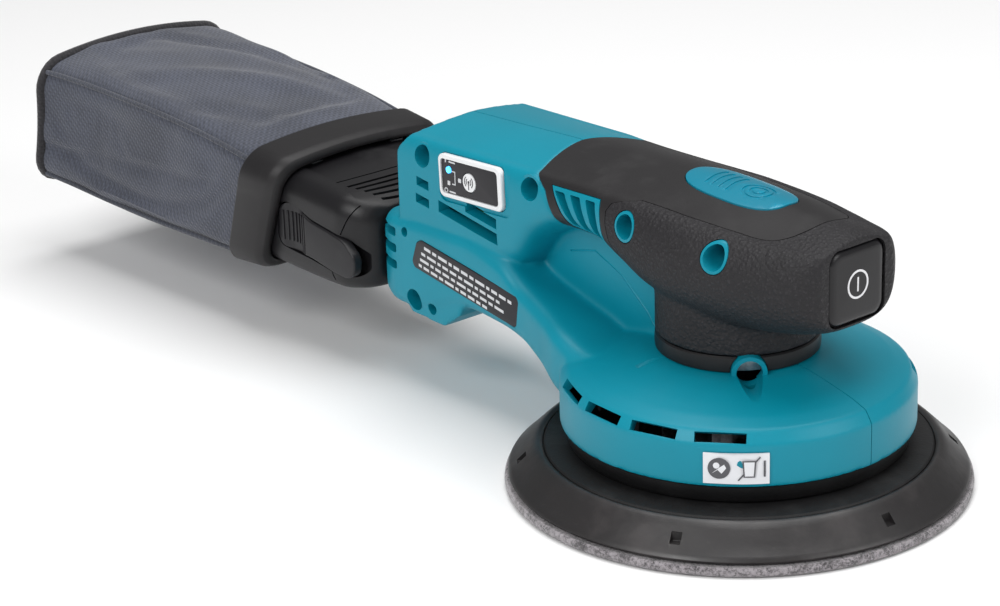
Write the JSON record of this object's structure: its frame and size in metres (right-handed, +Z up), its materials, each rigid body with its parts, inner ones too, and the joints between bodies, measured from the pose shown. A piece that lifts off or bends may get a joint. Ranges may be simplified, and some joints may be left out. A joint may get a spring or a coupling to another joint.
{
  "type": "random orbital sander",
  "caption": "Random orbital sander with a round 150 mm pad, teal and black body, control panel, front power button and a latched cloth dust bag.",
  "frame": {"origin": "on the spindle axis, in the plane of the sanding face", "axes": "+X to the front of the tool (the power button), -Y to its right-hand side (the control panel), +Z up along the spindle"},
  "size_m": [0.4214, 0.1506, 0.0992],
  "materials": {
    "teal_plastic": "fine spark-eroded texture, satin",
    "grip_elastomer": "grained soft-touch black",
    "cover_plastic": "smooth satin black",
    "badge_plastic": "satin teal with an embossed plain pattern",
    "sleeve_plastic": "satin black",
    "white_plastic": "white",
    "panel_black": "black printed film",
    "lamp_lens": "blue lens",
    "plate_black": "black label film with pale printed rules",
    "sticker_white": "white label film with grey pictograms",
    "button_black": "satin black with a pale ring and bar",
    "switch_black": "black",
    "spring_steel": "bright wire",
    "shaft_steel": "ground",
    "bearing_steel": "ground",
    "screw_steel": "dark zinc",
    "iron_laminate": "laminated",
    "copper_winding": "enamelled copper",
    "cast_aluminium": "as cast",
    "fan_nylon": "glass-filled nylon",
    "weight_zinc": "die-cast zinc",
    "plate_nylon": "grained black",
    "pad_foam": "moulded polyurethane skin, satin",
    "hook_felt": "short grey pile",
    "ring_rubber": "black",
    "circuit_board": "green solder mask",
    "box_plastic": "satin black",
    "latch_plastic": "satin black with finger ribs",
    "collar_plastic": "satin charcoal",
    "bag_cloth": "grey-blue twill"
  },
  "bodies": {
    "housing": {"housing_right": "teal_plastic", "housing_left": "teal_plastic", "grip_right": "grip_elastomer", "grip_left": "grip_elastomer", "top_cover": "cover_plastic", "badge": "badge_plastic", "neck_sleeve": "sleeve_plastic", "panel_bezel": "white_plastic", "panel_face": "panel_black", "status_lamp": "lamp_lens", "rating_plate": "plate_black", "info_sticker": "sticker_white", "power_button_spring": "spring_steel", "power_switch": "switch_black", "stator_core": "iron_laminate", "stator_winding": "copper_winding", "bearing_box": "cast_aluminium", "lower_bearing": "bearing_steel", "upper_bearing": "bearing_steel", "pad_brake_ring": "ring_rubber", "control_board": "circuit_board", "heat_sink": "cast_aluminium", "power_inlet": "switch_black", "grip_screw_rear": "screw_steel", "grip_screw_front": "screw_steel", "tower_screw_rear": "screw_steel", "tower_screw_front": "screw_steel", "duct_screw": "screw_steel"},
    "spindle": {"spindle_shaft": "shaft_steel", "rotor": "iron_laminate", "suction_fan": "fan_nylon", "counterweight": "weight_zinc"},
    "pad": {"pad_hub": "cast_aluminium", "eccentric_bearing": "bearing_steel", "pad_plate": "plate_nylon", "backing_pad": "pad_foam", "hook_loop_face": "hook_felt", "pad_bolt_1": "screw_steel", "pad_bolt_2": "screw_steel", "pad_bolt_3": "screw_steel"},
    "power_button": {"power_button": "button_black"},
    "mode_button": {"mode_button": "white_plastic"},
    "speed_dial": {"speed_dial": "button_black"},
    "dust_unit": {"dust_box": "box_plastic", "bag_collar": "collar_plastic", "dust_bag": "bag_cloth", "latch_pin_right": "bearing_steel", "latch_pin_left": "bearing_steel"},
    "latch_right": {"latch_right": "latch_plastic"},
    "latch_left": {"latch_left": "latch_plastic"}
  },
  "joints": [
    {"name": "spindle_spin", "type": "hinge", "parent": "housing", "child": "spindle", "pos_m": [0, 0, 0.05], "axis": [0, 0, 1], "continuous": true},
    {"name": "pad_spin", "type": "hinge", "parent": "spindle", "child": "pad", "pos_m": [0.00113, -0.00098, 0.02], "axis": [0, 0, 1], "continuous": true},
    {"name": "power_button_press", "type": "slide", "parent": "housing", "child": "power_button", "axis": [-1, 0, 0], "range_m": [0, 0.002], "stiffness_N_per_m": 400, "springref_m": -0.003, "deforming": ["power_button_spring"]},
    {"name": "mode_button_press", "type": "slide", "parent": "housing", "child": "mode_button", "axis": [0, 1, 0], "range_m": [0, 0.0004], "stiffness_N_per_m": 600, "springref_m": -0.001},
    {"name": "speed_dial_turn", "type": "hinge", "parent": "housing", "child": "speed_dial", "pos_m": [-0.096, 0.028, 0.0795], "axis": [0, 1, 0], "range_deg": [-135, 135]},
    {"name": "dust_unit_slide", "type": "slide", "parent": "housing", "child": "dust_unit", "axis": [-1, 0, 0], "range_m": [0, 0.04]},
    {"name": "latch_right_press", "type": "hinge", "parent": "dust_unit", "child": "latch_right", "pos_m": [-0.172, -0.0314, 0.045], "axis": [0, 0, -1], "range_deg": [0, 6], "stiffness_Nm_per_rad": 0.05, "springref_deg": -17.19},
    {"name": "latch_left_press", "type": "hinge", "parent": "dust_unit", "child": "latch_left", "pos_m": [-0.172, 0.0314, 0.045], "axis": [0, 0, 1], "range_deg": [0, 6], "stiffness_Nm_per_rad": 0.05, "springref_deg": -17.19}
  ]
}
